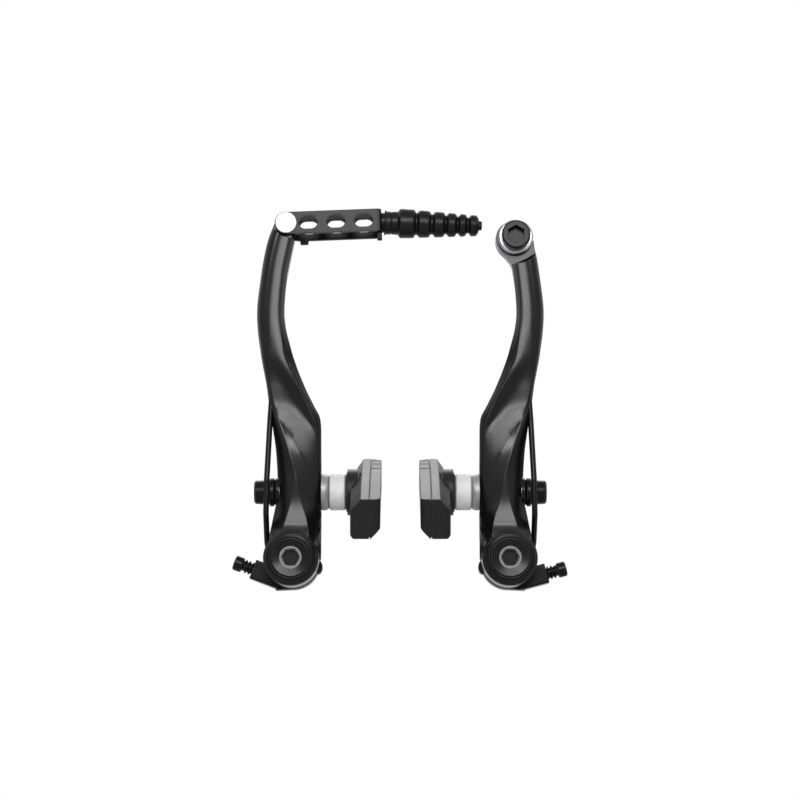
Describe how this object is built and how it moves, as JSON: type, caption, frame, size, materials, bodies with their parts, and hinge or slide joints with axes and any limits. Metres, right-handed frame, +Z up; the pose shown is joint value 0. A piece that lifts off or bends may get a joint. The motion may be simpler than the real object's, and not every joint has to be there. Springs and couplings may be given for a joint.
{
  "type": "v brake",
  "caption": "Pair of black linear-pull bicycle brake arms with shoes, return springs, a slotted cable link with ribbed rubber boot and a cable clamp bolt.",
  "frame": {"origin": "midway between the two pivot axes, on the rear seats of the pivot bushes", "axes": "+X to the right as seen by someone facing the brake, +Y towards the bicycle frame, +Z up along the arms"},
  "size_m": [0.1041, 0.0665, 0.1201],
  "materials": {
    "black_paint": "satin gloss black paint",
    "black_steel": "black oxide steel",
    "grey_steel": "satin dark grey coated steel",
    "zinc_steel": "zinc plated steel",
    "bright_steel": "bright polished rivet",
    "spring_wire": "black spring steel",
    "black_plastic": "moulded black plastic",
    "pad_rubber": "matt brake rubber",
    "boot_rubber": "matt black rubber",
    "bright_alloy": "bead blasted",
    "grey_alloy": "grey tumbled"
  },
  "bodies": {
    "boss_hardware": {"left_pivot_bush": "zinc_steel", "left_pivot_washer": "black_steel", "left_pivot_bolt": "black_steel", "left_return_spring": "spring_wire", "left_spring_holder": "black_plastic", "left_stopper_pin": "zinc_steel", "right_pivot_bush": "zinc_steel", "right_pivot_washer": "black_steel", "right_pivot_bolt": "black_steel", "right_return_spring": "spring_wire", "right_spring_holder": "black_plastic", "right_stopper_pin": "zinc_steel"},
    "left_lever": {"left_arm": "black_paint"},
    "right_lever": {"right_arm": "black_paint", "cable_bolt": "black_steel", "cable_washer": "zinc_steel"},
    "cable_link": {"link_bracket": "grey_steel", "link_pin": "bright_steel", "cable_boot": "boot_rubber"},
    "left_shoe": {"left_brake_pad": "pad_rubber", "left_pad_stud": "zinc_steel", "left_pad_dome": "black_steel", "left_pad_spacer": "bright_alloy", "left_arm_dome": "grey_alloy", "left_outer_dome": "black_steel", "left_outer_cup": "black_steel", "left_shoe_nut": "black_steel"},
    "right_shoe": {"right_brake_pad": "pad_rubber", "right_pad_stud": "zinc_steel", "right_pad_dome": "black_steel", "right_pad_spacer": "bright_alloy", "right_arm_dome": "grey_alloy", "right_outer_dome": "black_steel", "right_outer_cup": "black_steel", "right_shoe_nut": "black_steel"},
    "left_adjuster": {"left_tension_screw": "black_steel"},
    "right_adjuster": {"right_tension_screw": "black_steel"}
  },
  "joints": [
    {"name": "left_lever_pivot", "type": "hinge", "parent": "boss_hardware", "child": "left_lever", "pos_m": [-0.0335, -0.0137, 0], "axis": [0, 1, 0], "range_deg": [-24, 1.2], "stiffness_Nm_per_rad": 0.8, "deforming": ["left_return_spring"]},
    {"name": "right_lever_pivot", "type": "hinge", "parent": "boss_hardware", "child": "right_lever", "pos_m": [0.0335, -0.0137, 0], "axis": [0, -1, 0], "range_deg": [-24, 1.2], "stiffness_Nm_per_rad": 0.8, "deforming": ["right_return_spring"]},
    {"name": "link_swing", "type": "hinge", "parent": "left_lever", "child": "cable_link", "pos_m": [-0.0358, -0.00965, 0.1054], "axis": [0, -1, 0], "range_deg": [-8, 95]},
    {"name": "left_shoe_turn", "type": "hinge", "parent": "left_lever", "child": "left_shoe", "pos_m": [-0.0246, -0.008, 0.0213], "axis": [1, 0, 0], "range_deg": [-15, 15]},
    {"name": "right_shoe_turn", "type": "hinge", "parent": "right_lever", "child": "right_shoe", "pos_m": [0.0246, -0.008, 0.0213], "axis": [1, 0, 0], "range_deg": [-15, 15]},
    {"name": "left_tension_turn", "type": "hinge", "parent": "boss_hardware", "child": "left_adjuster", "pos_m": [-0.05016, -0.005, -0.00073], "axis": [-0.9336, 0, 0.3584], "continuous": true},
    {"name": "right_tension_turn", "type": "hinge", "parent": "boss_hardware", "child": "right_adjuster", "pos_m": [0.04999, -0.005, -0.00247], "axis": [0.9659, 0, 0.2588], "continuous": true}
  ]
}
